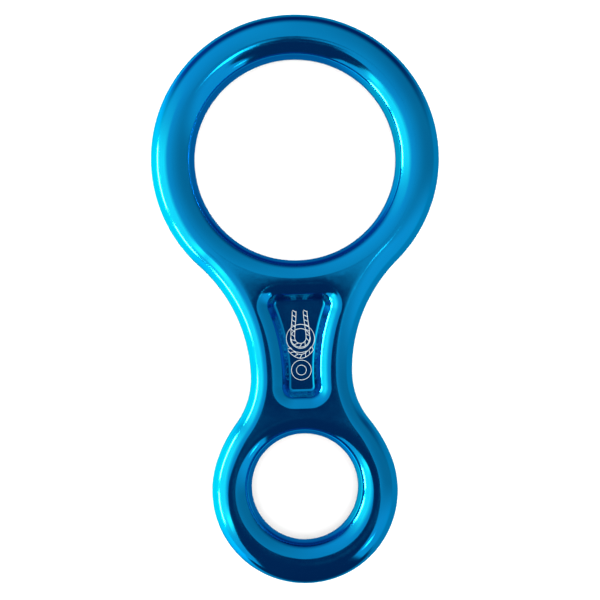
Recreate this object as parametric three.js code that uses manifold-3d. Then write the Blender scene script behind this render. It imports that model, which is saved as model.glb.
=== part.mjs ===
// Figure-eight descender: one aluminium forging with a large ring for the rope, a small ring for the
// carabiner and a waisted neck between them. Millimetres, lying flat: +Z is the thickness, +Y runs from
// the small ring to the large one, and the origin is under the middle of the forging, on the surface it
// lies on. The forging is cut square across the neck into three nodes, so that each ring is its own solid.
import * as THREE from "three";
import { mergeVertices } from "three/addons/utils/BufferGeometryUtils.js";
import Module from "manifold-3d";

const wasm = await Module();
wasm.setup();

// Overall size
const LENGTH = 150;
const THICKNESS = 12;
const PARTING_LAND = 1.0; // height of the trimmed band round the middle of the edge
const EDGE_ROUND = 4.6; // how far the rounding of the edge reaches in over the flat

// Rings, with each hole set a little towards the neck, so that the end wall is the thickest
const LARGE_RADIUS = 38;
const LARGE_HOLE_RADIUS = 26.5;
const LARGE_HOLE_SHIFT = 0.3;
const SMALL_RADIUS = 24.5;
const SMALL_HOLE_RADIUS = 14;
const SMALL_HOLE_SHIFT = 1.0;

// Neck
const WAIST_HALF_WIDTH = 13.4;
const WAIST_BELOW_LARGE_CENTRE = 57.1;
const WAIST_LOWER_RADIUS = 19.8;
const SHOULDER_RADIUS = 36.5; // the gentle arc where the neck runs out into the small ring

// Pocket, the same on both faces
const POCKET_DEPTH = 3.5;
const POCKET_FLOOR_TOP = 37.5; // below the centre of the large ring
const POCKET_FLOOR_BOTTOM = 61.1;
const POCKET_INSIDE_WAIST = 10.3; // from the side of the neck to the side of the floor
const POCKET_CORNER_RADIUS = 0.8;
const POCKET_RIM_WIDTH = 5.1; // from the floor to where the rounded rim meets the flat
const RIM_ROUND = 4.5;
const RIM_CHAMFER_ANGLES = [15, 32, 50]; // degrees, the chamfers that stand for the round of the rim

// Rigging mark on the front pocket floor: a ring with two strands above it and a loop below
const MARK_THICKNESS = 0.15;
const MARK_LINE = 0.45;
const MARK_RING_RADIUS = 3.6;
const MARK_RING_BELOW = 47.7; // below the centre of the large ring
const MARK_LOOP_RADIUS = 2.4;
const MARK_LOOP_BELOW = 55.6;
const MARK_STRAND_TOP_BELOW = 40.3;
const MARK_STRAND_SPACING = 2.9;

// Square cuts across the neck, clear of the holes and the pockets
const LARGE_CUT_Y = 7;
const SMALL_CUT_Y = -32;

// Facets
const OUTLINE_STEP = 3.2; // along an arc
const EDGE_FACETS = 5;

// Worked-out places
const largeCentre = new THREE.Vector2(0, LENGTH / 2 - LARGE_RADIUS);
const smallCentre = new THREE.Vector2(0, SMALL_RADIUS - LENGTH / 2);
const largeHoleCentre = new THREE.Vector2(0, largeCentre.y - LARGE_HOLE_SHIFT);
const smallHoleCentre = new THREE.Vector2(0, smallCentre.y + SMALL_HOLE_SHIFT);
const waistY = largeCentre.y - WAIST_BELOW_LARGE_CENTRE;

// The upper side of the neck is the one arc that is upright at the waist and touches the large ring.
const waistUpperRadius =
  (WAIST_BELOW_LARGE_CENTRE ** 2 / (LARGE_RADIUS - WAIST_HALF_WIDTH) -
    LARGE_RADIUS -
    WAIST_HALF_WIDTH) /
  2;
const upperArcCentre = new THREE.Vector2(WAIST_HALF_WIDTH + waistUpperRadius, waistY);
const lowerArcCentre = new THREE.Vector2(WAIST_HALF_WIDTH + WAIST_LOWER_RADIUS, waistY);
const shoulderCentre = circleCrossing(
  smallCentre,
  SHOULDER_RADIUS - SMALL_RADIUS,
  lowerArcCentre,
  SHOULDER_RADIUS + WAIST_LOWER_RADIUS,
);

// The left-hand one of the two points at distance ra from a and rb from b, looking from a to b.
function circleCrossing(a, ra, b, rb) {
  const gap = a.distanceTo(b);
  const unit = b.clone().sub(a).divideScalar(gap);
  const along = (ra * ra - rb * rb + gap * gap) / (2 * gap);
  const across = Math.sqrt(ra * ra - along * along);
  return new THREE.Vector2(
    a.x + unit.x * along - unit.y * across,
    a.y + unit.y * along + unit.x * across,
  );
}

function bearing(from, to) {
  return Math.atan2(to.y - from.y, to.x - from.x);
}

// Points along an arc from one angle to the other, without its last point.
function arc(centre, radius, from, to, step = OUTLINE_STEP) {
  const count = Math.max(3, Math.ceil((Math.abs(to - from) * radius) / step));
  return Array.from({ length: count }, (_, i) => {
    const angle = from + ((to - from) * i) / count;
    return new THREE.Vector2(
      centre.x + radius * Math.cos(angle),
      centre.y + radius * Math.sin(angle),
    );
  });
}

// A right-hand run of points, from the bottom up, followed by its mirror image from the top down.
function mirrored(rightSide) {
  const leftSide = rightSide
    .filter((p) => Math.abs(p.x) > 1e-6)
    .map((p) => new THREE.Vector2(-p.x, p.y))
    .reverse();
  return [...rightSide, ...leftSide];
}

// The forging seen from above: small ring, shoulder, waist and large ring, up its right side.
function forgingOutline() {
  const toShoulder = bearing(shoulderCentre, smallCentre);
  const toWaist = bearing(shoulderCentre, lowerArcCentre);
  const toLarge = bearing(upperArcCentre, largeCentre);
  return mirrored([
    ...arc(smallCentre, SMALL_RADIUS, -Math.PI / 2, toShoulder),
    ...arc(shoulderCentre, SHOULDER_RADIUS, toShoulder, toWaist),
    ...arc(lowerArcCentre, WAIST_LOWER_RADIUS, toWaist + Math.PI, Math.PI),
    ...arc(upperArcCentre, waistUpperRadius, Math.PI, toLarge),
    ...arc(largeCentre, LARGE_RADIUS, toLarge - Math.PI, Math.PI / 2),
    new THREE.Vector2(0, LENGTH / 2),
  ]);
}

function roundHole(centre, radius) {
  return new THREE.Path(arc(centre, radius, 0, 2 * Math.PI, OUTLINE_STEP * 0.8));
}

// The pocket floor: its sides run concentric with the upper sides of the neck.
function pocketFloor() {
  const r = POCKET_CORNER_RADIUS;
  const sideRadius = waistUpperRadius + POCKET_INSIDE_WAIST;
  const bottomY = largeCentre.y - POCKET_FLOOR_BOTTOM;
  const topY = largeCentre.y - POCKET_FLOOR_TOP;
  const lean = (y) => Math.asin((waistY - y) / (sideRadius + r));
  const cornerCentre = (y) =>
    new THREE.Vector2(upperArcCentre.x - (sideRadius + r) * Math.cos(lean(y)), y);
  const lowCorner = cornerCentre(bottomY + r);
  const highCorner = cornerCentre(topY - r);
  const low = lean(lowCorner.y);
  const high = lean(highCorner.y);
  return new THREE.Shape(
    mirrored([
      ...arc(lowCorner, r, -Math.PI / 2, low, 0.3),
      ...arc(upperArcCentre, sideRadius, Math.PI + low, Math.PI + high),
      ...arc(highCorner, r, high, Math.PI / 2, 0.3),
      new THREE.Vector2(highCorner.x, topY),
    ]),
  );
}

// A closed three.js geometry as a solid that can be joined and cut.
function solidOf(geometry) {
  const bare = geometry.clone();
  bare.deleteAttribute("normal");
  bare.deleteAttribute("uv");
  const merged = mergeVertices(bare, 1e-4);
  return new wasm.Manifold(
    new wasm.Mesh({
      numProp: 3,
      vertProperties: merged.attributes.position.array,
      triVerts: new Uint32Array(merged.index.array),
    }),
  );
}

function geometryOf(solid) {
  const mesh = solid.getMesh();
  const geometry = new THREE.BufferGeometry();
  geometry.setAttribute("position", new THREE.BufferAttribute(mesh.vertProperties, 3));
  geometry.setIndex(new THREE.BufferAttribute(mesh.triVerts, 1));
  geometry.computeVertexNormals();
  return geometry;
}

// The blank before the pockets: flat faces, two holes, and every edge rounded up to its parting land.
function blank() {
  const round = (THICKNESS - PARTING_LAND) / 2;
  const shape = new THREE.Shape(forgingOutline());
  shape.holes = [
    roundHole(largeHoleCentre, LARGE_HOLE_RADIUS),
    roundHole(smallHoleCentre, SMALL_HOLE_RADIUS),
  ];
  const geometry = new THREE.ExtrudeGeometry(shape, {
    depth: PARTING_LAND,
    bevelThickness: round,
    bevelSize: EDGE_ROUND,
    bevelOffset: -EDGE_ROUND,
    bevelSegments: EDGE_FACETS,
  });
  return solidOf(geometry.translate(0, 0, round));
}

// A cutter for one chamfer of the pocket, touching the round of its rim at the given angle to the flat.
// It reaches down over the pocket floor, or to the floor itself, and its mouth stands above z = 0.
function chamferCutter(degrees) {
  const slope = Math.tan(THREE.MathUtils.degToRad(degrees));
  const mouth = POCKET_RIM_WIDTH - RIM_ROUND * Math.tan(THREE.MathUtils.degToRad(degrees / 2));
  const reach = Math.min(mouth, POCKET_DEPTH / slope);
  const geometry = new THREE.ExtrudeGeometry(pocketFloor(), {
    depth: 0.5,
    bevelThickness: reach * slope,
    bevelSize: reach,
    bevelOffset: mouth - reach,
    bevelSegments: 1,
  });
  return solidOf(geometry);
}

// The pocket cutter for the front face, and the same cutter turned over for the back.
function pocketCutters() {
  const cutter = RIM_CHAMFER_ANGLES.map(chamferCutter).reduce((all, one) => all.add(one));
  const front = cutter.translate([0, 0, THICKNESS]);
  const back = cutter.rotate([0, 180, 0]);
  return [front, back];
}

// A block across the whole width, from one cross cut to the next.
function slab(fromY, toY) {
  const box = new THREE.BoxGeometry(2 * LENGTH, toY - fromY, 4 * THICKNESS);
  return solidOf(box.translate(0, (fromY + toY) / 2, 0));
}

// A flat band of the mark, lying on the floor of the front pocket.
function markPiece(shape) {
  const geometry = new THREE.ExtrudeGeometry(shape, { depth: MARK_THICKNESS, bevelEnabled: false });
  return solidOf(geometry.translate(0, 0, THICKNESS - POCKET_DEPTH));
}

function markCircle(radius, below) {
  const centre = new THREE.Vector2(0, largeCentre.y - below);
  const circle = new THREE.Shape(arc(centre, radius, 0, 2 * Math.PI, 0.9));
  circle.holes = [new THREE.Path(arc(centre, radius - MARK_LINE, 0, 2 * Math.PI, 0.9))];
  return markPiece(circle);
}

function markStrand(x, fromBelow, toBelow) {
  const bottom = largeCentre.y - toBelow;
  const top = largeCentre.y - fromBelow;
  return markPiece(
    new THREE.Shape([
      new THREE.Vector2(x - MARK_LINE / 2, bottom),
      new THREE.Vector2(x + MARK_LINE / 2, bottom),
      new THREE.Vector2(x + MARK_LINE / 2, top),
      new THREE.Vector2(x - MARK_LINE / 2, top),
    ]),
  );
}

function riggingMark() {
  const side = MARK_STRAND_SPACING / 2;
  return [
    markCircle(MARK_RING_RADIUS, MARK_RING_BELOW),
    markCircle(MARK_LOOP_RADIUS, MARK_LOOP_BELOW),
    markStrand(-side, MARK_STRAND_TOP_BELOW, MARK_LOOP_BELOW - side),
    markStrand(side, MARK_STRAND_TOP_BELOW, MARK_LOOP_BELOW - side),
  ].reduce((all, one) => all.add(one));
}

const anodised = new THREE.MeshStandardMaterial({ color: 0x0f86bd, metalness: 1, roughness: 0.2 });
const bareMetal = new THREE.MeshStandardMaterial({ color: 0xd9d5c4, metalness: 1, roughness: 0.45 });

const forging = pocketCutters().reduce((all, cutter) => all.subtract(cutter), blank());
const pieces = [
  ["large_ring", forging.intersect(slab(LARGE_CUT_Y, LENGTH)), anodised],
  ["neck", forging.intersect(slab(SMALL_CUT_Y, LARGE_CUT_Y)), anodised],
  ["small_ring", forging.intersect(slab(-LENGTH, SMALL_CUT_Y)), anodised],
  ["rigging_mark", riggingMark(), bareMetal],
];

const part = new THREE.Group();
part.name = "figure_eight_descender";
for (const [name, solid, material] of pieces) {
  const mesh = new THREE.Mesh(geometryOf(solid), material);
  mesh.name = name;
  part.add(mesh);
}

export default part;
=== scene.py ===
import math

import bpy
import numpy as np
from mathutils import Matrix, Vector
from mathutils.geometry import delaunay_2d_cdt


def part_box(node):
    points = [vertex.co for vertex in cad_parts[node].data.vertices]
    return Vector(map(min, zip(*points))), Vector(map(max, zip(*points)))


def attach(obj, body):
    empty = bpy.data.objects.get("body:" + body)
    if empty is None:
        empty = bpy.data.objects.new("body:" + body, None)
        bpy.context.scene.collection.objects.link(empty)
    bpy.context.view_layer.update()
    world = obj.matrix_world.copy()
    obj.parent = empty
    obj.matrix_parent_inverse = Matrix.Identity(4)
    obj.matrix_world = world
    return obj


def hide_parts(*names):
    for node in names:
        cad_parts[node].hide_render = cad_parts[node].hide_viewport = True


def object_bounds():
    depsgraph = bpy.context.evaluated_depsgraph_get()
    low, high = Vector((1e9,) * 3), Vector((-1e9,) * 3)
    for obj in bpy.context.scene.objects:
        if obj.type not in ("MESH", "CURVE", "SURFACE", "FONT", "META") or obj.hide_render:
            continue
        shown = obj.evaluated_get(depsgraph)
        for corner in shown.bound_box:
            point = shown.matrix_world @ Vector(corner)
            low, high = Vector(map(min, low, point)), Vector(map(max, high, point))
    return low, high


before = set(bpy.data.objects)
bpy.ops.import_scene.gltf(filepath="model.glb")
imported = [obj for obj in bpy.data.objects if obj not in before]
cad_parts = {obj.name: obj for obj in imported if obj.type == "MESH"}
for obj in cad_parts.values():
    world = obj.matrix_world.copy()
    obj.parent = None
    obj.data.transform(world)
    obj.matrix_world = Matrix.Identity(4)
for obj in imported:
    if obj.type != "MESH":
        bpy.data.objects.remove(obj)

cad_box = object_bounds()
scene = bpy.context.scene

# ---------------------------------------------------------------------------------------------------
# Camera. It looks straight down on the face with the mark, from a little over half a metre, and is
# turned a touch on its own axis, so that the device leans slightly.
CAMERA_DISTANCE = 0.528
CAMERA_LENS = 120
CAMERA_ROLL = -1.76
CAMERA_OVER = (0.0002, -0.0003)  # a touch off the middle of the device

lowest, highest = cad_box
half_thickness = (highest[2] - lowest[2]) / 2
camera_data = bpy.data.cameras.new("camera")
camera_data.lens = CAMERA_LENS
camera = bpy.data.objects.new("camera", camera_data)
camera.location = (*CAMERA_OVER, half_thickness + CAMERA_DISTANCE)
camera.rotation_euler = (0, 0, math.radians(CAMERA_ROLL))
scene.collection.objects.link(camera)
scene.camera = camera
scene.view_settings.view_transform = "Standard"

# ---------------------------------------------------------------------------------------------------
# Forging. One piece of aluminium alloy, hot forged in a pair of dies, trimmed round its middle,
# polished and anodised. Both faces are alike: the rings are rounded all the way over, and the neck
# is flat between rounded sides, with a tapered pocket with a rounded rim pressed into it.
PARTING_LAND = 0.0008  # height of the trimmed band round the edge
LARGE_HOLE_RADIUS = 0.0265
LARGE_HOLE_SHIFT = -0.0003  # from the centre of the ring, along the forging
SMALL_HOLE_RADIUS = 0.0140
SMALL_HOLE_SHIFT = 0.0010
WAIST_HALF_WIDTH = 0.0134
WAIST_BELOW_LARGE_CENTRE = 0.0571
WAIST_LOWER_RADIUS = 0.0198
SHOULDER_RADIUS = 0.0365
WAIST_ROUND = 0.0046  # how far the rounded side reaches in at the waist
LARGE_HOLE_NECK_ROUND = 0.0049  # the same where the large hole meets the neck
SMALL_HOLE_NECK_ROUND = 0.0048
POCKET_DEPTH = 0.0035
POCKET_FLOOR_TOP = 0.0375  # below the centre of the large ring
POCKET_FLOOR_BOTTOM = 0.0611
POCKET_INSIDE_WAIST = 0.0103
POCKET_CORNER_RADIUS = 0.0010
POCKET_RIM_ROUND = 0.0045
POCKET_WALL_SLOPE = 50
POCKET_FLOOR_FILLET = 0.0009
EDGE_STEP = 0.0006  # between stations along an edge
SECTION_STEPS = 24  # from the parting land up to the crown
FILL_STEP = 0.0011  # between the points that fill a flat region
FILL_ROW_SPACING = 0.866  # in fill steps, for triangles with even sides
FILL_CLEARANCE = 0.45  # in fill steps, kept free beside the edge of the region
POCKET_END_STEPS = (8, 12)  # along half the bottom and half the top of the pocket floor
POCKET_CORNER_STEPS = (12, 14)
POCKET_RIM_STEPS = 16
POCKET_WALL_STEPS = 7
POCKET_FILLET_STEPS = 8
SAME_POINT = 1e-6

large_low, large_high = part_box("large_ring")
small_low, small_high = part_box("small_ring")
large_radius = large_high.x
small_radius = small_high.x
large_centre = np.array([0, large_high.y - large_radius])
small_centre = np.array([0, small_low.y + small_radius])
waist_y = large_centre[1] - WAIST_BELOW_LARGE_CENTRE

# The upper side of the neck is the arc that is upright at the waist and touches the large ring.
over_waist = large_radius - WAIST_HALF_WIDTH
waist_upper_radius = (
    WAIST_BELOW_LARGE_CENTRE**2 / over_waist - large_radius - WAIST_HALF_WIDTH
) / 2
upper_arc_centre = np.array([WAIST_HALF_WIDTH + waist_upper_radius, waist_y])
lower_arc_centre = np.array([WAIST_HALF_WIDTH + WAIST_LOWER_RADIUS, waist_y])


def circle_crossing(a, radius_a, b, radius_b):
    """The point at radius_a from a and radius_b from b that is on the left, looking from a to b."""
    gap = np.linalg.norm(b - a)
    unit = (b - a) / gap
    along = (radius_a**2 - radius_b**2 + gap**2) / (2 * gap)
    across = math.sqrt(radius_a**2 - along**2)
    return a + unit * along + np.array([-unit[1], unit[0]]) * across


shoulder_centre = circle_crossing(
    small_centre,
    SHOULDER_RADIUS - small_radius,
    lower_arc_centre,
    SHOULDER_RADIUS + WAIST_LOWER_RADIUS,
)


def bearing(start, end):
    return math.atan2(end[1] - start[1], end[0] - start[0])


def angles_between(start, end, radius, step=EDGE_STEP):
    """Evenly spaced angles from start to end, both of them included."""
    return np.linspace(start, end, max(3, round(abs(end - start) * radius / step)) + 1)


def around(centre, radius, angles):
    return centre + radius * np.column_stack([np.cos(angles), np.sin(angles)])


def ease(start, end, share):
    """From start to end with no corner at either, as share goes from 0 to 1."""
    share = np.clip(share, 0, 1)
    return start + (end - start) * share**2 * (3 - 2 * share)


def hole_reach(angles, hole_radius, shift):
    """How far a hole's wall is from the centre of its ring, in each direction."""
    along = shift * np.sin(angles)
    return along + np.sqrt(hole_radius**2 - shift**2 + along**2)


def mirror_loop(right_side):
    """Stations up the right side, followed by their mirror images down the left side."""
    left_side = right_side[1:-1][::-1] * np.array([-1, 1, -1, 1])
    return np.vstack([right_side, left_side])


# A station is a point of an edge as x, y, and then the step from there to where the rounding of the
# edge ends, on the crown of a ring or on the flat of the neck.
large_touch = bearing(upper_arc_centre, large_centre) - math.pi
small_touch = bearing(shoulder_centre, small_centre)
shoulder_end = bearing(shoulder_centre, lower_arc_centre)
large_ring_angles = angles_between(large_touch, math.pi / 2, large_radius)
small_ring_angles = angles_between(-math.pi / 2, small_touch, small_radius)


def large_ring_round(angles):
    return (large_radius - hole_reach(angles, LARGE_HOLE_RADIUS, LARGE_HOLE_SHIFT)) / 2


def small_ring_round(angles):
    return (small_radius - hole_reach(angles, SMALL_HOLE_RADIUS, SMALL_HOLE_SHIFT)) / 2


large_round = large_ring_round(large_ring_angles)
small_round = small_ring_round(small_ring_angles)


def stations(points, inward, rounding):
    return np.column_stack([points, inward * np.reshape(rounding, (-1, 1))])


def edge_arc(centre, radius, angles, rounding, hollow=False):
    """Stations along an arc of the outline, which bulges outwards unless it is hollow."""
    inward = around(np.zeros(2), 1 if hollow else -1, angles)
    return stations(around(centre, radius, angles), inward, rounding)


def hole_edge(centre, hole_radius, shift, angles, rounding):
    outward = around(np.zeros(2), 1, angles)
    wall = hole_reach(angles, hole_radius, shift)
    return mirror_loop(stations(centre + outward * wall[:, None], outward, rounding))


def outline_stations():
    shoulder = angles_between(small_touch, shoulder_end, SHOULDER_RADIUS)
    lower = angles_between(shoulder_end + math.pi, math.pi, WAIST_LOWER_RADIUS)
    upper = angles_between(math.pi, large_touch + math.pi, waist_upper_radius)
    along_shoulder = (shoulder - small_touch) * SHOULDER_RADIUS
    along_lower = along_shoulder[-1] + (lower[0] - lower) * WAIST_LOWER_RADIUS
    to_waist = along_lower[-1]
    toward = around(shoulder_centre, SHOULDER_RADIUS, shoulder) - small_centre
    beside_ring = small_ring_round(np.arctan2(toward[:, 1], toward[:, 0]))
    below_waist = ease(beside_ring, WAIST_ROUND, along_shoulder / to_waist)
    into_waist = ease(beside_ring[-1], WAIST_ROUND, along_lower / to_waist)
    above_waist = ease(WAIST_ROUND, large_round[0], (upper - math.pi) / large_touch)
    return mirror_loop(np.vstack([
        edge_arc(small_centre, small_radius, small_ring_angles, small_round),
        edge_arc(shoulder_centre, SHOULDER_RADIUS, shoulder, below_waist)[1:],
        edge_arc(lower_arc_centre, WAIST_LOWER_RADIUS, lower, into_waist, hollow=True)[1:],
        edge_arc(upper_arc_centre, waist_upper_radius, upper, above_waist, hollow=True)[1:-1],
        edge_arc(large_centre, large_radius, large_ring_angles, large_round),
    ]))


def large_hole_stations():
    """Where the hole is inside its ring, its stations face those of the outline."""
    neck = angles_between(-math.pi / 2, large_touch, LARGE_HOLE_RADIUS)
    share = (neck - large_touch) / (neck[0] - large_touch)
    neck_round = ease(large_ring_round(neck), LARGE_HOLE_NECK_ROUND, share)
    return hole_edge(
        large_centre, LARGE_HOLE_RADIUS, LARGE_HOLE_SHIFT,
        np.concatenate([neck[:-1], large_ring_angles]),
        np.concatenate([neck_round[:-1], large_round]),
    )


def small_hole_stations():
    neck = angles_between(small_touch, math.pi / 2, SMALL_HOLE_RADIUS)
    share = (neck - small_touch) / (neck[-1] - small_touch)
    neck_round = ease(small_ring_round(neck), SMALL_HOLE_NECK_ROUND, share)
    return hole_edge(
        small_centre, SMALL_HOLE_RADIUS, SMALL_HOLE_SHIFT,
        np.concatenate([small_ring_angles, neck[1:]]),
        np.concatenate([small_round, neck_round[1:]]),
    )


def pocket_stations():
    """The edge of the pocket floor, with steps of unit length out towards the rim."""
    r = POCKET_CORNER_RADIUS
    side_radius = waist_upper_radius + POCKET_INSIDE_WAIST
    floor_ys = large_centre[1] - np.array([POCKET_FLOOR_BOTTOM - r, POCKET_FLOOR_TOP + r])
    low, high = np.arcsin((waist_y - floor_ys) / (side_radius + r))
    corners = around(upper_arc_centre, side_radius + r, np.array([math.pi + low, math.pi + high]))
    bottom = np.linspace(0, corners[0][0], POCKET_END_STEPS[0])[:-1]
    top = np.linspace(corners[1][0], 0, POCKET_END_STEPS[1])[1:]
    low_turn = np.linspace(-math.pi / 2, low, POCKET_CORNER_STEPS[0])
    side = angles_between(low, high, side_radius)[1:-1]
    high_turn = np.linspace(high, math.pi / 2, POCKET_CORNER_STEPS[1])
    flat_down = np.tile([0.0, -1.0], (len(bottom), 1))
    flat_up = np.tile([0.0, 1.0], (len(top), 1))
    right_side = [
        stations(np.column_stack([bottom, np.full(len(bottom), floor_ys[0] - r)]), flat_down, 1),
        stations(around(corners[0], r, low_turn), around(np.zeros(2), 1, low_turn), 1),
        stations(around(upper_arc_centre, side_radius, side + math.pi),
                 around(np.zeros(2), 1, side), 1),
        stations(around(corners[1], r, high_turn), around(np.zeros(2), 1, high_turn), 1),
        stations(np.column_stack([top, np.full(len(top), floor_ys[1] + r)]), flat_up, 1),
    ]
    return mirror_loop(np.vstack(right_side))


def pocket_profile():
    """From the flat down to the floor: distance out from the floor's edge, and depth."""
    slope = math.radians(POCKET_WALL_SLOPE)
    rim = np.linspace(0, slope, POCKET_RIM_STEPS)
    rim_out = POCKET_RIM_ROUND * np.sin(rim)
    rim_down = POCKET_RIM_ROUND * (1 - np.cos(rim))
    straight = (POCKET_DEPTH - rim_down[-1]) / math.tan(slope)
    width = rim_out[-1] + straight
    tangent = POCKET_FLOOR_FILLET * math.tan(slope / 2)
    fillet = np.linspace(slope, 0, POCKET_FILLET_STEPS)
    fillet_out = -tangent + POCKET_FLOOR_FILLET * np.sin(fillet)
    fillet_down = POCKET_DEPTH - POCKET_FLOOR_FILLET * (1 - np.cos(fillet))
    wall_share = np.linspace(0, 1, POCKET_WALL_STEPS)[1:-1]
    wall_out = (width - rim_out[-1]) * (1 - wall_share) + fillet_out[0] * wall_share
    wall_down = rim_down[-1] * (1 - wall_share) + fillet_down[0] * wall_share
    return (
        np.concatenate([width - rim_out, wall_out, fillet_out]),
        np.concatenate([rim_down, wall_down, fillet_down]),
    )


class PlanMesh:
    """The upper face drawn flat, with what each point needs to be raised into place."""

    def __init__(self):
        self.points, self.faces = [], []
        self.steps, self.turns, self.sinks, self.lands = [], [], [], []

    def add(self, points, steps=None, turn=1.0, sink=0.0, land=1.0):
        count = len(points)
        first = len(self.points)
        self.points += [(x, y, 0) for x, y in points]
        steps = np.zeros((count, 2)) if steps is None else steps
        self.steps += [(x, y, 0) for x, y in steps]
        self.turns += [turn] * count
        self.sinks += [sink] * count
        self.lands += [land] * count
        return first, count

    def bridge(self, row_a, row_b):
        """Quads between two closed rows of as many points."""
        (a, count), (b, _) = row_a, row_b
        for i in range(count):
            j = (i + 1) % count
            self.faces.append((a + i, a + j, b + j, b + i))

    def round_edge(self, edge, hole=False):
        """An edge's rounding, from the middle of the parting land to the crown or the flat."""
        points, steps = edge[:, :2], edge[:, 2:]
        rows = [self.add(points, steps, turn=0, land=0)]
        rows += [self.add(points, steps, turn=t) for t in np.linspace(0, 1, SECTION_STEPS + 1)]
        for below, above in zip(rows, rows[1:]):
            self.bridge(*((above, below) if hole else (below, above)))

    def fill(self, outer, inner=None, sink=0.0):
        """Small triangles over a flat region, from its outer loop in to its inner one."""
        loops = [outer] if inner is None else [outer, inner]
        low, high = outer.min(0), outer.max(0)
        rows = []
        for i, y in enumerate(np.arange(low[1], high[1], FILL_STEP * FILL_ROW_SPACING)):
            xs = np.arange(low[0] + (i % 2) * FILL_STEP / 2, high[0], FILL_STEP)
            rows.append(np.column_stack([xs, np.full(len(xs), y)]))
        grid = np.vstack(rows)
        to_edge = np.min([distance_to_loop(grid, loop) for loop in loops], axis=0)
        clear = to_edge > FILL_STEP * FILL_CLEARANCE
        grid = grid[clear & in_region(grid, loops)]
        edges, start = [], 0
        for loop in loops:
            count = len(loop)
            edges += [(start + i, start + (i + 1) % count) for i in range(count)]
            start += count
        points = [Vector(p) for p in np.vstack(loops + [grid])]
        out_points, _, out_faces, *_ = delaunay_2d_cdt(points, edges, [], 0, SAME_POINT / 10)
        flat = np.array([tuple(p) for p in out_points])
        first, _ = self.add(flat, sink=sink)
        centres = np.array([flat[list(face)].mean(0) for face in out_faces])
        for face, inside in zip(out_faces, in_region(centres, loops)):
            if inside:
                self.faces.append(tuple(first + i for i in face))


def distance_to_loop(points, loop):
    starts, ends = loop, np.roll(loop, -1, axis=0)
    along = ends - starts
    lengths = np.maximum((along**2).sum(1), 1e-18)
    offset = points[:, None] - starts[None]
    share = np.clip((offset * along[None]).sum(2) / lengths, 0, 1)
    return np.sqrt(((offset - along[None] * share[..., None]) ** 2).sum(2)).min(1)


def in_region(points, loops):
    """Whether each point is inside an odd number of the loops."""
    inside = np.zeros(len(points), bool)
    for loop in loops:
        ends = np.roll(loop, -1, axis=0)
        for (x0, y0), (x1, y1) in zip(loop, ends):
            spans = (y0 > points[:, 1]) != (y1 > points[:, 1])
            if y0 != y1:
                inside ^= spans & (points[:, 0] < (x1 - x0) * (points[:, 1] - y0) / (y1 - y0) + x0)
    return inside


outline = outline_stations()
large_hole = large_hole_stations()
small_hole = small_hole_stations()
pocket_edge = pocket_stations()
pocket_out, pocket_down = pocket_profile()


def crown(edge):
    return edge[:, :2] + edge[:, 2:]


def neck_flat_loop():
    """Round the flat of the neck: up its right side, under the large hole, down and back."""
    outline_crown = crown(outline)
    first = len(small_ring_angles) - 1
    last = len(outline) // 2 + 1 - len(large_ring_angles)
    right = outline_crown[first : last + 1]
    large_crown = crown(large_hole)
    small_crown = crown(small_hole)
    under_large = large_crown[: len(large_hole) // 2 + 1 - len(large_ring_angles) + 1]
    over_small = small_crown[len(small_ring_angles) - 1 : len(small_hole) // 2 + 1]
    right_half = np.vstack([over_small[::-1][:-1], right, under_large[::-1][1:]])
    left_half = right_half[1:-1][::-1] * np.array([-1, 1])
    return np.vstack([right_half, left_half])


plan = PlanMesh()
plan.round_edge(outline)
plan.round_edge(large_hole, hole=True)
plan.round_edge(small_hole, hole=True)
pocket_rows = [
    plan.add(pocket_edge[:, :2] + pocket_edge[:, 2:] * out, sink=down)
    for out, down in zip(pocket_out, pocket_down)
]
for row, next_row in zip(pocket_rows, pocket_rows[1:]):
    plan.bridge(row, next_row)
rim_loop = pocket_edge[:, :2] + pocket_edge[:, 2:] * pocket_out[0]
floor_loop = pocket_edge[:, :2] + pocket_edge[:, 2:] * pocket_out[-1]
plan.fill(neck_flat_loop(), rim_loop)
plan.fill(floor_loop, sink=POCKET_DEPTH)


def plan_object(name, plan):
    mesh = bpy.data.meshes.new(name)
    mesh.from_pydata(plan.points, [], plan.faces)
    step_in = mesh.attributes.new("step_in", "FLOAT_VECTOR", "POINT")
    step_in.data.foreach_set("vector", np.array(plan.steps, np.float32).ravel())
    for key, values in (("turn", plan.turns), ("sink", plan.sinks), ("land", plan.lands)):
        mesh.attributes.new(key, "FLOAT", "POINT").data.foreach_set("value", values)
    thing = bpy.data.objects.new(name, mesh)
    scene.collection.objects.link(thing)
    return thing


class Tree:
    """A node tree being built: each node is added with its settings and what feeds its inputs."""

    def __init__(self, tree):
        self.tree = tree

    def add(self, kind, settings=None, **inputs):
        node = self.tree.nodes.new(kind)
        for key, value in (settings or {}).items():
            setattr(node, key, value)
        for key, value in inputs.items():
            name = key.replace("_", " ")
            index = int(key[1:]) if key[0] == "i" and key[1:].isdigit() else name
            self.feed(node.inputs[index], value)
        return node

    def feed(self, socket, value):
        if isinstance(value, bpy.types.Node):
            value = next(o for o in value.outputs if o.enabled)
        if isinstance(value, bpy.types.NodeSocket):
            self.tree.links.new(value, socket)
        else:
            socket.default_value = value

    def maths(self, operation, a, b=0.0, c=0.0):
        return self.add("ShaderNodeMath", {"operation": operation}, i0=a, i1=b, i2=c)


def geometry_tree(name, inputs):
    """A Geometry Nodes tree with a geometry in and out, and named inputs for its sizes."""
    group = bpy.data.node_groups.new(name, "GeometryNodeTree")
    group.interface.new_socket("Geometry", in_out="INPUT", socket_type="NodeSocketGeometry")
    for key, kind in inputs.items():
        group.interface.new_socket(key, in_out="INPUT", socket_type=kind)
    group.interface.new_socket("Geometry", in_out="OUTPUT", socket_type="NodeSocketGeometry")
    return Tree(group)


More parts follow.
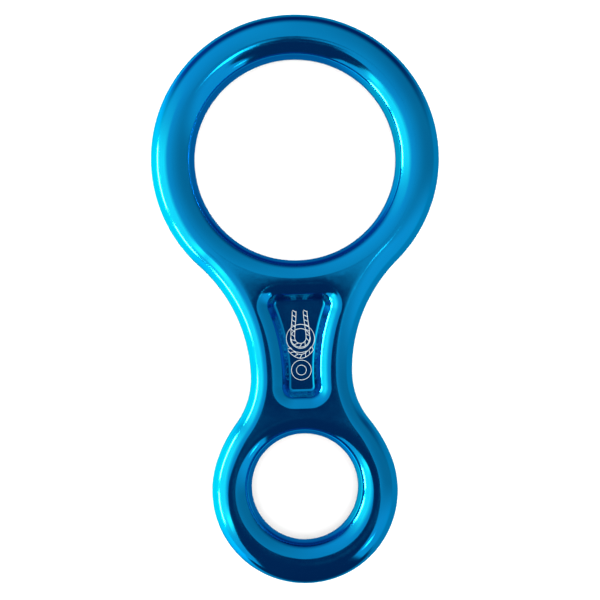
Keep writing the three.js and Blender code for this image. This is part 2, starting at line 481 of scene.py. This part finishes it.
def run_tree(thing, tree, values):
    """The plain mesh that a tree makes of an object, in place of the object's own."""
    modifier = thing.modifiers.new(tree.tree.name, "NODES")
    modifier.node_group = tree.tree
    for item in tree.tree.interface.items_tree:
        if item.in_out == "INPUT" and item.name in values:
            modifier[item.identifier] = values[item.name]
    depsgraph = bpy.context.evaluated_depsgraph_get()
    mesh = bpy.data.meshes.new_from_object(thing.evaluated_get(depsgraph))
    thing.modifiers.remove(modifier)
    thing.data = mesh
    mesh.name = thing.name


# Each face of the forging is its plan raised: a point goes in from its edge and up by the sine and
# cosine of its turn, so that every rounding is a quarter of an ellipse, and the pocket is sunk.
tree = geometry_tree("raise_both_faces", {
    "Half thickness": "NodeSocketFloat",
    "Parting land": "NodeSocketFloat",
    "Finish": "NodeSocketMaterial",
})
given = tree.add("NodeGroupInput")


def attribute(key, kind="FLOAT"):
    return tree.add("GeometryNodeInputNamedAttribute", {"data_type": kind}, Name=key)


angle = tree.maths("MULTIPLY", attribute("turn"), math.pi / 2)
share_in = tree.maths("SUBTRACT", 1.0, tree.maths("COSINE", angle))
step_in = tree.add(
    "ShaderNodeVectorMath", {"operation": "SCALE"}, i0=attribute("step_in", "FLOAT_VECTOR"),
    Scale=share_in,
)
land_top = tree.maths("MULTIPLY", given.outputs["Parting land"], 0.5)
arc_height = tree.maths("SUBTRACT", given.outputs["Half thickness"], land_top)
raised = tree.maths(
    "MULTIPLY_ADD", tree.maths("SINE", angle), arc_height,
    tree.maths("MULTIPLY", land_top, attribute("land")),
)
height = tree.maths("SUBTRACT", raised, attribute("sink"))
lift = tree.add("ShaderNodeCombineXYZ", Z=height)
offset = tree.add("ShaderNodeVectorMath", {"operation": "ADD"}, i0=step_in, i1=lift)
front = tree.add("GeometryNodeSetPosition", Geometry=given.outputs["Geometry"], Offset=offset)
turned = tree.add("GeometryNodeTransform", Geometry=front, Scale=(1, 1, -1))
back = tree.add("GeometryNodeFlipFaces", Mesh=turned)
both = tree.add("GeometryNodeJoinGeometry", Geometry=front)
tree.feed(both.inputs["Geometry"], back)
closed = tree.add("GeometryNodeMergeByDistance", Geometry=both, Distance=SAME_POINT)
up = tree.add("ShaderNodeCombineXYZ", Z=given.outputs["Half thickness"])
placed = tree.add("GeometryNodeTransform", Geometry=closed, Translation=up)
smooth = tree.add("GeometryNodeSetShadeSmooth", Geometry=placed)
finished = tree.add(
    "GeometryNodeSetMaterial", Geometry=smooth, Material=given.outputs["Finish"]
)
tree.add("NodeGroupOutput", Geometry=finished)

# Clear blue dye in the oxide on bright polished metal, so that highlights are tinted as well. The
# trimmed band round the edge is satin, and the polish leaves faint waves, grain and hairlines.
ANODISED_BLUE = (0.003, 0.295, 0.62, 1)
DEEPER_BLUE = (0.002, 0.24, 0.56, 1)
EDGE_TINT = (0.08, 0.72, 0.86, 1)
POLISH_ROUGHNESS = (0.075, 0.125)
BAND_ROUGHNESS = 0.26
POCKET_ROUGHNESS = 0.15  # on the pocket's walls, where the polishing wheel does not reach
UNPOLISHED_BELOW = (0.0012, 0.0022)  # from where the polish fades to where it has gone
DYE_PATCHES = 45  # to the metre, like the other counts here
WORN_PATCHES = 240
WAVES = 65
WAVE_HEIGHT = 0.000030
GRAINS = 1500
GRAIN_HEIGHT = 0.0000012
HAIRLINES = 5200
HAIRLINE_HEIGHT = 0.0000005
HAIRLINE_ANGLES = (28, -51)


def shader_tree(name):
    material = bpy.data.materials.new(name)
    material.use_nodes = True
    material.node_tree.nodes.clear()
    return material, Tree(material.node_tree)


def noise(nodes, place, scale, detail=2.0):
    """Noise from 0 to 1, with so many waves to the metre."""
    texture = nodes.add("ShaderNodeTexNoise", Vector=place, Scale=scale, Detail=detail)
    return texture.outputs["Fac"]


def hairlines(nodes, place, turn):
    """Noise drawn out into fine lines that run at an angle across the face."""
    drawn = nodes.add("ShaderNodeMapping", Vector=place, Rotation=(0, 0, math.radians(turn)),
                      Scale=(0.012, 1, 0.3))
    return noise(nodes, drawn, HAIRLINES, 1.0)


def raised_by(nodes, height, distance, normal=None):
    bump = nodes.add("ShaderNodeBump", Height=height, Distance=distance, Strength=1.0)
    if normal is not None:
        nodes.feed(bump.inputs["Normal"], normal)
    return bump


def anodised_finish():
    material, nodes = shader_tree("blue_anodised_polish")
    place = nodes.add("ShaderNodeTexCoord").outputs["Object"]
    dye = nodes.add("ShaderNodeMapRange", Value=noise(nodes, place, DYE_PATCHES), From_Min=0.4,
                    From_Max=0.7, To_Min=0.0, To_Max=0.45)
    colour = nodes.add("ShaderNodeMix", {"data_type": "RGBA"}, i0=dye, i6=ANODISED_BLUE,
                       i7=DEEPER_BLUE)
    worn = nodes.add("ShaderNodeMapRange", Value=noise(nodes, place, WORN_PATCHES, 4.0),
                     From_Min=0.3, From_Max=0.7, To_Min=POLISH_ROUGHNESS[0],
                     To_Max=POLISH_ROUGHNESS[1])
    height = nodes.add("ShaderNodeSeparateXYZ", Vector=place).outputs["Z"]
    from_middle = nodes.maths("ABSOLUTE", nodes.maths("SUBTRACT", height, half_thickness))
    band = nodes.add("ShaderNodeMapRange", Value=from_middle, From_Min=PARTING_LAND * 0.45,
                     From_Max=PARTING_LAND * 0.6, To_Min=1.0, To_Max=0.0)
    banded = nodes.add("ShaderNodeMix", {"data_type": "FLOAT"}, i0=band, i2=worn,
                       i3=BAND_ROUGHNESS)
    depth = nodes.add("ShaderNodeAttribute", {"attribute_name": "sink"}).outputs["Fac"]
    sunk = nodes.add("ShaderNodeMapRange", Value=depth, From_Min=UNPOLISHED_BELOW[0],
                     From_Max=UNPOLISHED_BELOW[1])
    on_wall = nodes.add("ShaderNodeMapRange", Value=depth, From_Min=POCKET_DEPTH * 0.93,
                        From_Max=POCKET_DEPTH, To_Min=1.0, To_Max=0.0)
    unpolished = nodes.maths("MULTIPLY", sunk, on_wall)
    roughness = nodes.add("ShaderNodeMix", {"data_type": "FLOAT"}, i0=unpolished, i2=banded,
                          i3=POCKET_ROUGHNESS)
    waves = raised_by(nodes, noise(nodes, place, WAVES, 1.0), WAVE_HEIGHT)
    grain = raised_by(nodes, noise(nodes, place, GRAINS), GRAIN_HEIGHT, waves)
    one_way, other_way = HAIRLINE_ANGLES
    lines = raised_by(nodes, hairlines(nodes, place, one_way), HAIRLINE_HEIGHT, grain)
    crossing = raised_by(nodes, hairlines(nodes, place, other_way), HAIRLINE_HEIGHT, lines)
    surface = nodes.add(
        "ShaderNodeBsdfPrincipled", Metallic=1.0, Roughness=roughness,
        Base_Color=colour.outputs[2], Specular_Tint=EDGE_TINT, Normal=crossing,
    )
    nodes.add("ShaderNodeOutputMaterial", Surface=surface)
    return material


forging = plan_object("forged_body", plan)
run_tree(forging, tree, {
    "Half thickness": half_thickness,
    "Parting land": PARTING_LAND,
    "Finish": anodised_finish(),
})
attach(forging, "root")
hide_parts("large_ring", "neck", "small_ring")

# ---------------------------------------------------------------------------------------------------
# Rigging mark. Fine line drawing of the device with a rope rigged through it, burnt into the dye on
# the floor of the front pocket by a laser, which leaves pale matt oxide a hair higher than the floor.
MARK_LINE = 0.000125
MARK_HEIGHT = 0.00004
MARK_BEDDING = 0.00001  # how far the lines reach down into the floor
MARK_RINGS = (  # distance below the centre of the large ring, and radius
    (0.0474, 0.0037), (0.0474, 0.0026),
    (0.0557, 0.0026), (0.0557, 0.0013),
)
MARK_STRAND_TOP = 0.0402
MARK_STRAND_OUT = 0.00145  # half the gap between the two strands at their tops
MARK_BIGHT = 0.0020  # radius of the turn of rope inside the upper ring
MARK_SLING_OUT = 0.0031
MARK_SLING_TOP = 0.0500
MARK_SLING_SAG = 0.0021
MARK_ROPE_WIDTH = 0.00100
MARK_STRAND_PITCH = 0.00125
MARK_STRAND_SLANT = 58


def mark_point(out, below):
    return (out, large_centre[1] - below)


def mark_lines():
    """Centre lines of the drawing: closed rings, and open runs of rope."""
    closed, ropes = [], []
    for below, radius in MARK_RINGS:
        centre = np.array(mark_point(0, below))
        closed.append(around(centre, radius, np.linspace(0, 2 * math.pi, 49)[:-1]))
    turn = np.linspace(0, math.pi, 19)
    bight_below = MARK_RINGS[0][0] - 0.0002
    neck = np.linspace(MARK_STRAND_TOP, bight_below, 16)[:-1]
    spread = ease(MARK_STRAND_OUT, MARK_BIGHT, (neck - neck[0]) / (bight_below - neck[0]))
    right = [mark_point(o, b) for o, b in zip(spread, neck)]
    round_turn = [mark_point(MARK_BIGHT * math.cos(a), bight_below + MARK_BIGHT * math.sin(a))
                  for a in turn]
    left = [(-x, y) for x, y in right[::-1]]
    ropes.append(np.array(right + round_turn + left))
    share = np.linspace(-1, 1, 25)
    sag = MARK_SLING_TOP + MARK_SLING_SAG * (1 - share**2)
    ropes.append(np.array([mark_point(s * MARK_SLING_OUT, b) for s, b in zip(share, sag)]))
    return closed, ropes


def line_object(name, closed, ropes):
    points, edges, is_rope = [], [], []
    for loop, cyclic in [(p, True) for p in closed] + [(p, False) for p in ropes]:
        first, count = len(points), len(loop)
        points += [(x, y, 0) for x, y in loop]
        edges += [(first + i, first + i + 1) for i in range(count - 1)]
        if cyclic:
            edges.append((first + count - 1, first))
        is_rope += [0.0 if cyclic else 1.0] * count
    mesh = bpy.data.meshes.new(name)
    mesh.from_pydata(points, edges, [])
    mesh.attributes.new("rope", "FLOAT", "POINT").data.foreach_set("value", is_rope)
    thing = bpy.data.objects.new(name, mesh)
    scene.collection.objects.link(thing)
    return thing


# Rings are drawn as single lines; a rope is two lines beside its centre line, with slanting strokes
# for its strands at an even pitch.
tree = geometry_tree("draw_mark", {
    "Line width": "NodeSocketFloat",
    "Line height": "NodeSocketFloat",
    "Rope width": "NodeSocketFloat",
    "Strand pitch": "NodeSocketFloat",
    "Strand slant": "NodeSocketFloat",
    "Raise": "NodeSocketFloat",
    "Finish": "NodeSocketMaterial",
})
given = tree.add("NodeGroupInput")
is_rope = tree.add("FunctionNodeCompare", {"data_type": "FLOAT", "operation": "GREATER_THAN"},
                   i0=attribute("rope"), i1=0.5)
parted = tree.add("GeometryNodeSeparateGeometry", {"domain": "POINT"},
                  Geometry=given.outputs["Geometry"], Selection=is_rope.outputs["Result"])
section = tree.add("GeometryNodeCurvePrimitiveQuadrilateral", Width=given.outputs["Line width"],
                   Height=given.outputs["Line height"])


def drawn(curve):
    level = tree.add("GeometryNodeSetCurveNormal", Curve=curve)
    strip = tree.add("GeometryNodeCurveToMesh", Curve=level, Profile_Curve=section)
    tree.feed(strip.inputs["Fill Caps"], True)
    return strip


def beside(curve, side):
    """The curve moved level to one side by half the width of the rope."""
    tangent = tree.add("GeometryNodeInputTangent")
    across = tree.add("ShaderNodeVectorMath", {"operation": "CROSS_PRODUCT"}, i0=tangent,
                      i1=(0, 0, 1))
    reach = tree.maths("MULTIPLY", given.outputs["Rope width"], 0.5 * side)
    offset = tree.add("ShaderNodeVectorMath", {"operation": "SCALE"}, i0=across, Scale=reach)
    return tree.add("GeometryNodeSetPosition", Geometry=curve, Offset=offset)


rings = tree.add("GeometryNodeMeshToCurve", Mesh=parted.outputs["Inverted"])
ropes = tree.add("GeometryNodeMeshToCurve", Mesh=parted.outputs["Selection"])
points = tree.add("GeometryNodeCurveToPoints", {"mode": "LENGTH"}, Curve=ropes,
                  Length=given.outputs["Strand pitch"])
along = tree.add("FunctionNodeAlignRotationToVector", {"axis": "X", "pivot_axis": "Z"},
                 Vector=points.outputs["Tangent"])
turn = tree.add("ShaderNodeCombineXYZ", Z=given.outputs["Strand slant"])
slanted = tree.add("FunctionNodeRotateRotation", {"rotation_space": "LOCAL"}, Rotation=along,
                   Rotate_By=turn)
stroke_size = tree.add("ShaderNodeCombineXYZ", X=given.outputs["Rope width"],
                       Y=given.outputs["Line width"], Z=given.outputs["Line height"])
stroke = tree.add("GeometryNodeMeshCube", Size=stroke_size)
strokes = tree.add("GeometryNodeInstanceOnPoints", Points=points.outputs["Points"],
                   Instance=stroke.outputs["Mesh"], Rotation=slanted)
real_strokes = tree.add("GeometryNodeRealizeInstances", Geometry=strokes)
drawing = tree.add("GeometryNodeJoinGeometry", Geometry=drawn(rings))
for piece in (drawn(beside(ropes, 1)), drawn(beside(ropes, -1)), real_strokes):
    tree.feed(drawing.inputs["Geometry"], piece)
up = tree.add("ShaderNodeCombineXYZ", Z=given.outputs["Raise"])
placed = tree.add("GeometryNodeTransform", Geometry=drawing, Translation=up)
finished = tree.add("GeometryNodeSetMaterial", Geometry=placed, Material=given.outputs["Finish"])
tree.add("NodeGroupOutput", Geometry=finished)

# Pale grey-white oxide, with tiny pits and a slight change of tone from spot to spot.
MARK_PALE = (0.51, 0.565, 0.59, 1)
MARK_DULL = (0.40, 0.45, 0.475, 1)
OXIDE_SPOTS = 2500
PITS = 9000
PIT_HEIGHT = 0.000004


def laser_finish():
    material, nodes = shader_tree("laser_marked_oxide")
    place = nodes.add("ShaderNodeTexCoord").outputs["Object"]
    tone = noise(nodes, place, OXIDE_SPOTS, 3.0)
    colour = nodes.add("ShaderNodeMix", {"data_type": "RGBA"}, i0=tone, i6=MARK_PALE, i7=MARK_DULL)
    roughness = nodes.add("ShaderNodeMapRange", Value=tone, To_Min=0.45, To_Max=0.75)
    pits = raised_by(nodes, noise(nodes, place, PITS, 3.0), PIT_HEIGHT)
    surface = nodes.add(
        "ShaderNodeBsdfPrincipled", Metallic=0.0, Roughness=roughness,
        Base_Color=colour.outputs[2], Normal=pits,
    )
    nodes.add("ShaderNodeOutputMaterial", Surface=surface)
    return material


rigging = line_object("rigging_lines", *mark_lines())
run_tree(rigging, tree, {
    "Line width": MARK_LINE,
    "Line height": MARK_HEIGHT,
    "Rope width": MARK_ROPE_WIDTH,
    "Strand pitch": MARK_STRAND_PITCH,
    "Strand slant": math.radians(MARK_STRAND_SLANT),
    "Raise": 2 * half_thickness - POCKET_DEPTH + MARK_HEIGHT / 2 - MARK_BEDDING,
    "Finish": laser_finish(),
})
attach(rigging, "root")
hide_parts("rigging_mark")

# ---------------------------------------------------------------------------------------------------
# Studio. A white table, an even pale room, a window on the left, and dark shapes for the person who
# holds the camera, which a polished surface would show. Dark glowing sheets also paint in shade: the
# person's shadow on the table and the shade inside the holes. Only reflections see the window and
# shapes.
FLOOR_HALF_SIDE = 3.0
FLOOR_BELOW = 0.0001  # so that the device does not share a plane with the table
EVEN_LIGHT = 2.45  # on the table and on anything matt
CARD_CELLS = 64  # along each side of a card


def panel(name, corners, material, faces=None):
    mesh = bpy.data.meshes.new(name)
    mesh.from_pydata(corners, [], faces or [tuple(range(len(corners)))])
    mesh.materials.append(material)
    thing = bpy.data.objects.new(name, mesh)
    scene.collection.objects.link(thing)
    return thing


def soft_finish(name, colour, strength, most=1.0):
    """Glow, or the lack of it, that fades out where the attribute called cover falls to 0, and hides
    at most so much of what is behind it."""
    material, nodes = shader_tree(name)
    cover = nodes.add("ShaderNodeAttribute", {"attribute_name": "cover"}).outputs["Fac"]
    shown = nodes.add("ShaderNodeMapRange", {"interpolation_type": "SMOOTHSTEP"}, Value=cover,
                      To_Max=most)
    clear = nodes.add("ShaderNodeBsdfTransparent")
    glow = nodes.add("ShaderNodeEmission", Color=(*colour, 1), Strength=strength)
    blend = nodes.add("ShaderNodeMixShader", Fac=shown, i1=clear, i2=glow)
    nodes.add("ShaderNodeOutputMaterial", Surface=blend)
    return material


def card(name, outline, feather, material, origin, across=(1, 0, 0), along=(0, 1, 0)):
    """A flat shape that only reflections show, with a soft edge as wide as its feather. Its outline
    is in a plane through origin, measured across and along."""
    outline = np.array(outline, float)
    low, high = outline.min(0) - feather, outline.max(0) + feather
    us, vs = (np.linspace(low[k], high[k], CARD_CELLS + 1) for k in (0, 1))
    grid = np.array([(u, v) for v in vs for u in us])
    inside = np.where(in_region(grid, [outline]), 1, -1)
    cover = np.clip(0.5 + inside * distance_to_loop(grid, outline) / feather, 0, 1)
    points = np.array(origin) + grid[:, :1] * np.array(across) + grid[:, 1:] * np.array(along)
    row = CARD_CELLS + 1
    corners = [r * row + c for r in range(CARD_CELLS) for c in range(CARD_CELLS)]
    cells = [(i, i + 1, i + row + 1, i + row) for i in corners]
    thing = panel(name, points.tolist(), material, cells)
    thing.data.attributes.new("cover", "FLOAT", "POINT").data.foreach_set("value", cover)
    thing.visible_camera = False
    thing.visible_diffuse = False
    thing.visible_shadow = False
    return thing


def rectangle(low_u, high_u, low_v, high_v):
    return [(low_u, low_v), (high_u, low_v), (high_u, high_v), (low_u, high_v)]


table, nodes = shader_tree("white_table")
surface = nodes.add("ShaderNodeBsdfDiffuse", Color=(0.96, 0.96, 0.96, 1))
nodes.add("ShaderNodeOutputMaterial", Surface=surface)
low_side, high_side = -FLOOR_HALF_SIDE, FLOOR_HALF_SIDE
floor = panel("floor", [
    (x, y, -FLOOR_BELOW) for x, y in rectangle(low_side, high_side, low_side, high_side)
], table)
floor.visible_glossy = False

window_glow = soft_finish("window", (0.95, 1.0, 0.66), 2.4)
haze_glow = soft_finish("haze", (1.0, 1.0, 0.72), 1.9)
sky_glow = soft_finish("sky", (1.0, 1.0, 0.66), 3.6)
pane_glow = soft_finish("window_pane", (2.3, 1.0, 1.0), 260)
lamp_glow = soft_finish("lamp", (1.0, 1.0, 0.9), 9)
# Dark clothes of the person, and also the painted shadow on the table in front.
dark_clothes_and_shadow = soft_finish("dark_clothes_and_shadow", (0.26, 0.45, 1.0), 0.14)
# Painted shade: a half-clear dark blue glow that stands in for the shaded table inside the holes.
painted_shade_in_holes = soft_finish("painted_shade_in_holes", (0.10, 0.12, 1.0), 0.34, most=0.52)
SIDEWAYS = {"across": (0, 1, 0), "along": (0, 0, 1)}
FACING = {"across": (1, 0, 0), "along": (0, 0, 1)}

# The window with haze round it and a patch of sky, and the sun on two of its panes.
card("window", rectangle(-0.20, 0.11, -0.6, 0.34), 0.12, window_glow, (-0.30, 0, 0), **SIDEWAYS)
card("haze", rectangle(-0.23, 0.15, -0.6, 0.46), 0.34, haze_glow, (-0.31, 0, 0), **SIDEWAYS)
card("sky", rectangle(-0.225, -0.165, 0.18, 0.42), 0.07, sky_glow, (-0.29, 0, 0), **SIDEWAYS)
for name, near_end, far_end in (("pane_near", -0.15, -0.065), ("pane_far", -0.03, 0.077)):
    card(name, rectangle(near_end, far_end, 0.026, 0.038), 0.008, pane_glow, (-0.225, 0, 0),
         **SIDEWAYS)

# Two lamps overhead, and under them the lens, the camera, the hands and arms, and the clothes.
card("lamp_far", rectangle(-0.08, 0.08, -0.08, 0.08), 0.08, lamp_glow, (0.206, -0.25, 1.2))
card("lamp_near", rectangle(-0.012, 0.012, -0.012, 0.012), 0.016, lamp_glow, (0.122, -0.172, 0.12))
card("camera_and_arms", [
    (-0.022, 0.0065), (0.024, 0.0065), (0.056, -0.052),
    (0.094, -0.092), (0.140, -0.16), (0.154, -0.25), (0.21, -0.50), (-0.35, -0.50), (-0.26, -0.27),
    (-0.152, -0.118), (-0.104, -0.056), (-0.046, -0.042),
], 0.009, dark_clothes_and_shadow, (0, 0, 0.25))
card("hands", rectangle(-0.025, 0.0225, -0.045, 0.0088), 0.003, dark_clothes_and_shadow, (0, 0, 0.25))
card("lens", rectangle(-0.015, 0.015, -0.11, 0.050), 0.024, dark_clothes_and_shadow, (0, 0, 0.56))
card("body", [(-0.14, -0.03), (0.20, -0.03), (0.17, 0.27), (-0.24, 0.27)], 0.03, dark_clothes_and_shadow,
     (0, -0.33, 0), **FACING)

# Painted shadow and painted shade: a faint dark glowing sheet for the shadow that the person casts on
# the table in front, and half-clear dark blue glowing discs for the shade inside the two holes.
card("painted_shadow_on_table", [
    (-0.024, -0.087), (0.030, -0.082), (0.052, -0.11), (0.30, -0.33), (-0.20, -0.33), (-0.05, -0.11),
], 0.008, dark_clothes_and_shadow, (0, 0, 0))
full_turn = np.linspace(0, 2 * math.pi, 33)[:-1]
for name, centre, radius in (("painted_shade_in_large_hole", large_centre, LARGE_HOLE_RADIUS),
                             ("painted_shade_in_small_hole", small_centre, SMALL_HOLE_RADIUS)):
    card(name, around(centre, radius, full_turn), 0.005, painted_shade_in_holes, (0, 0, -0.003))

# The room as reflections show it fades from left to right, with a bright table below on the left
# and a dark wall beyond the table. Matt surfaces and the background get an even white.
ROOM_WHITE = (0.92, 0.98, 1.08, 1)
FAR_WALL = (0.06, 0.08, 0.27, 1)
world = bpy.data.worlds.new("room")
scene.world = world
world.use_nodes = True
world.node_tree.nodes.clear()
room = Tree(world.node_tree)
direction = room.add("ShaderNodeTexCoord").outputs["Generated"]
toward = room.add("ShaderNodeSeparateXYZ", Vector=direction)


def fade(source, start, end, low, high):
    return room.add("ShaderNodeMapRange", {"interpolation_type": "SMOOTHSTEP"}, Value=source,
                    From_Min=start, From_Max=end, To_Min=low, To_Max=high)


above = fade(toward.outputs["X"], -0.9, 0.9, 1.0, 0.47)
below = fade(toward.outputs["X"], -0.9, -0.2, 2.1, 0.66)
near_right = room.maths("MULTIPLY", fade(toward.outputs["X"], 0.0, 0.4, 0.0, 1.0),
                        fade(toward.outputs["Y"], -0.45, 0.0, 0.44, 0.0))
above = room.maths("ADD", above, near_right)
downward = fade(toward.outputs["Z"], 0.05, -0.2, 0.0, 1.0)
glow = room.add("ShaderNodeMix", {"data_type": "FLOAT"}, i0=downward, i2=above, i3=below)
beyond = fade(toward.outputs["Y"], 0.15, 0.72, 0.0, 1.0)
below_skyline = fade(toward.outputs["Z"], 0.42, -0.1, 0.0, 1.0)
past_table = fade(toward.outputs["Z"], -0.68, -0.35, 0.0, 1.0)
far_wall = room.maths("MULTIPLY", beyond, room.maths("MULTIPLY", below_skyline, past_table))
tone = room.add("ShaderNodeMix", {"data_type": "RGBA"}, i0=far_wall, i6=ROOM_WHITE, i7=FAR_WALL)
rays = room.add("ShaderNodeLightPath")
reflected = room.add("ShaderNodeBackground", Color=tone.outputs[2], Strength=glow)
even = room.add("ShaderNodeBackground", Color=(1, 1, 1, 1), Strength=EVEN_LIGHT)
plain = room.maths("MAXIMUM", rays.outputs["Is Camera Ray"], rays.outputs["Is Diffuse Ray"])
mixed = room.add("ShaderNodeMixShader", Fac=plain, i1=reflected, i2=even)
room.add("ShaderNodeOutputWorld", Surface=mixed)
world.cycles.sampling_method = "NONE"
scene.cycles.caustics_reflective = False
